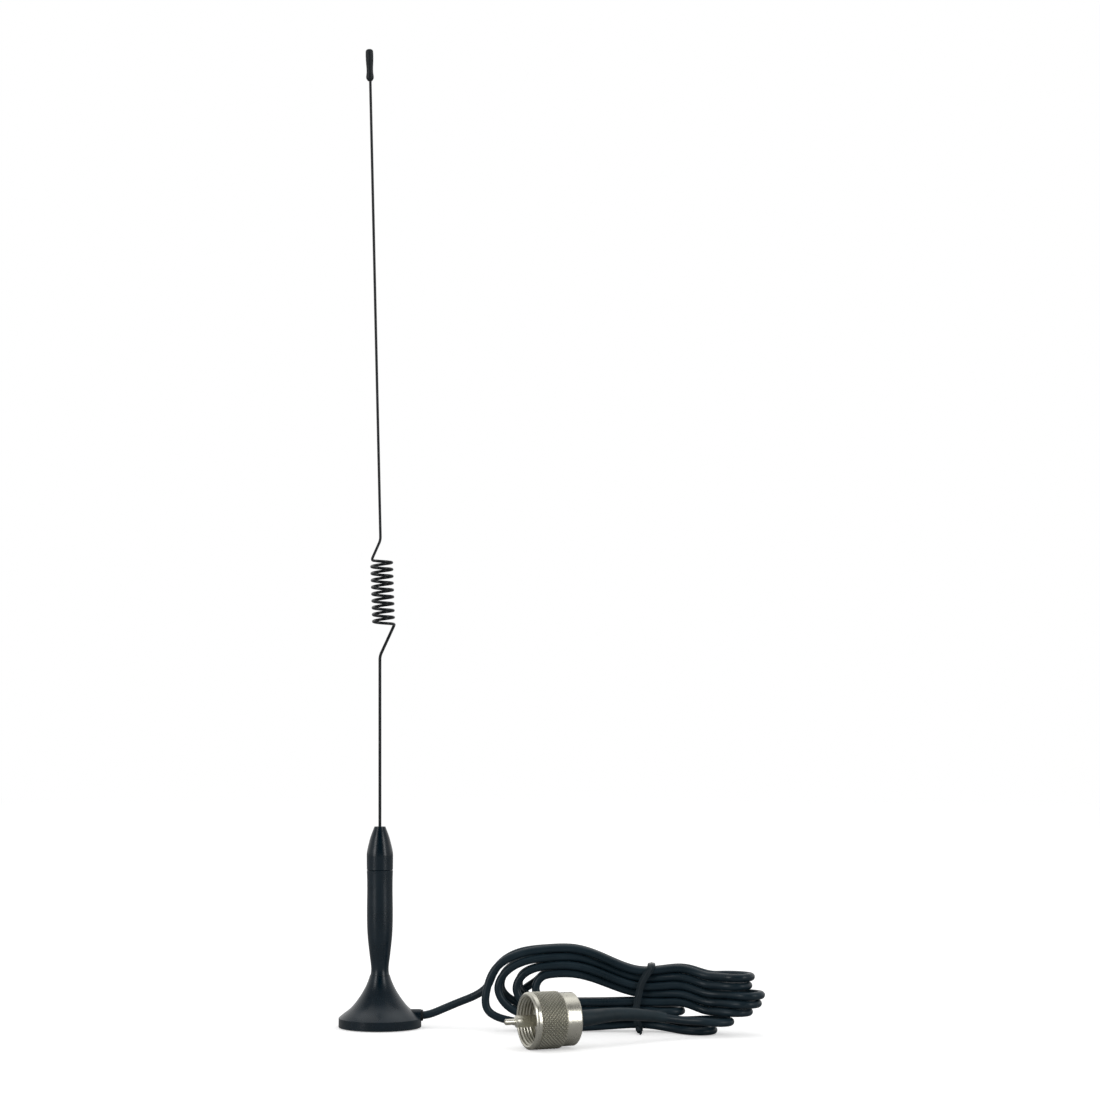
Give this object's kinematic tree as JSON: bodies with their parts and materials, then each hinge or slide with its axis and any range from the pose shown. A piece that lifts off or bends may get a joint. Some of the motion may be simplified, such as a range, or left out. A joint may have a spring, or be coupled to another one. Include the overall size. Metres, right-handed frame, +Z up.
{
  "type": "magnet-mount omnidirectional antenna",
  "caption": "Slim whip antenna with a coiled phasing section on a black mast and flared magnet base, with a coax lead in a tied hank and a screw-on coax plug.",
  "frame": {"origin": "middle of the magnet base's underside", "axes": "+Z up along the mast, +X the way the coax lead leaves the base"},
  "size_m": [0.1431, 0.0809, 0.3312],
  "materials": {
    "black_chrome": "gloss black plating",
    "pad_rubber": "matt",
    "zinc_steel": "satin",
    "ferrite": "matt",
    "tinned_brass": "satin",
    "white_plastic": "matt",
    "soft_black": "matt",
    "mast_black": "gloss",
    "brass": "machined",
    "copper": "enamelled wire",
    "whip_black": "black plated steel wire",
    "cap_plastic": "satin",
    "cable_pvc": "satin",
    "shrink_tube": "satin",
    "tie_plastic": "satin",
    "nickel": "nickel plate"
  },
  "bodies": {
    "base": {"base_shell": "black_chrome", "base_pad": "pad_rubber", "magnet_cup": "zinc_steel", "ring_magnet": "ferrite", "ground_tag": "tinned_brass", "mast_screw": "zinc_steel", "core_tag": "tinned_brass", "insulator_bush": "white_plastic", "cable_grommet": "soft_black", "mast_body": "mast_black", "foot_insert": "brass", "coil_former": "white_plastic", "loading_coil": "copper", "ferrule_insert": "brass", "cable_jacket": "cable_pvc", "cable_braid": "copper", "cable_dielectric": "white_plastic", "cable_core": "copper", "heat_shrink": "shrink_tube", "cable_tie": "tie_plastic", "plug_body": "nickel", "plug_insulator": "white_plastic", "centre_pin": "nickel", "crimp_ferrule": "nickel", "retaining_ring": "zinc_steel"},
    "ferrule": {"whip_ferrule": "black_chrome", "grub_screw": "zinc_steel"},
    "whip_foot": {"whip_lower": "whip_black"},
    "coil": {"phasing_coil": "whip_black"},
    "whip_top": {"whip_upper": "whip_black", "tip_cap": "cap_plastic"},
    "nut": {"coupling_nut": "nickel"}
  },
  "joints": [
    {"name": "ferrule_turn", "type": "hinge", "parent": "base", "child": "ferrule", "pos_m": [0, 0, 0.0583], "axis": [0, 0, 1], "range_deg": [0, 1620]},
    {"name": "whip_slide", "type": "slide", "parent": "ferrule", "child": "whip_foot", "axis": [0, 0, 1], "range_m": [-0.006, 0.008]},
    {"name": "coil_sway_side", "type": "hinge", "parent": "whip_foot", "child": "coil", "pos_m": [0.00105, 0.00066, 0.1434], "axis": [0, 1, 0], "range_deg": [-20, 20], "stiffness_Nm_per_rad": 0.045, "deforming": ["phasing_coil"]},
    {"name": "coil_sway_fore", "type": "hinge", "parent": "coil", "child": "whip_top", "pos_m": [0.00083, 0.00133, 0.1505], "axis": [1, 0, 0], "range_deg": [-20, 20], "stiffness_Nm_per_rad": 0.045, "deforming": ["phasing_coil"]},
    {"name": "nut_spin", "type": "hinge", "parent": "base", "child": "nut", "pos_m": [0.05, -0.0586, 0.00935], "axis": [0.9205, 0.3907, 0], "continuous": true}
  ]
}
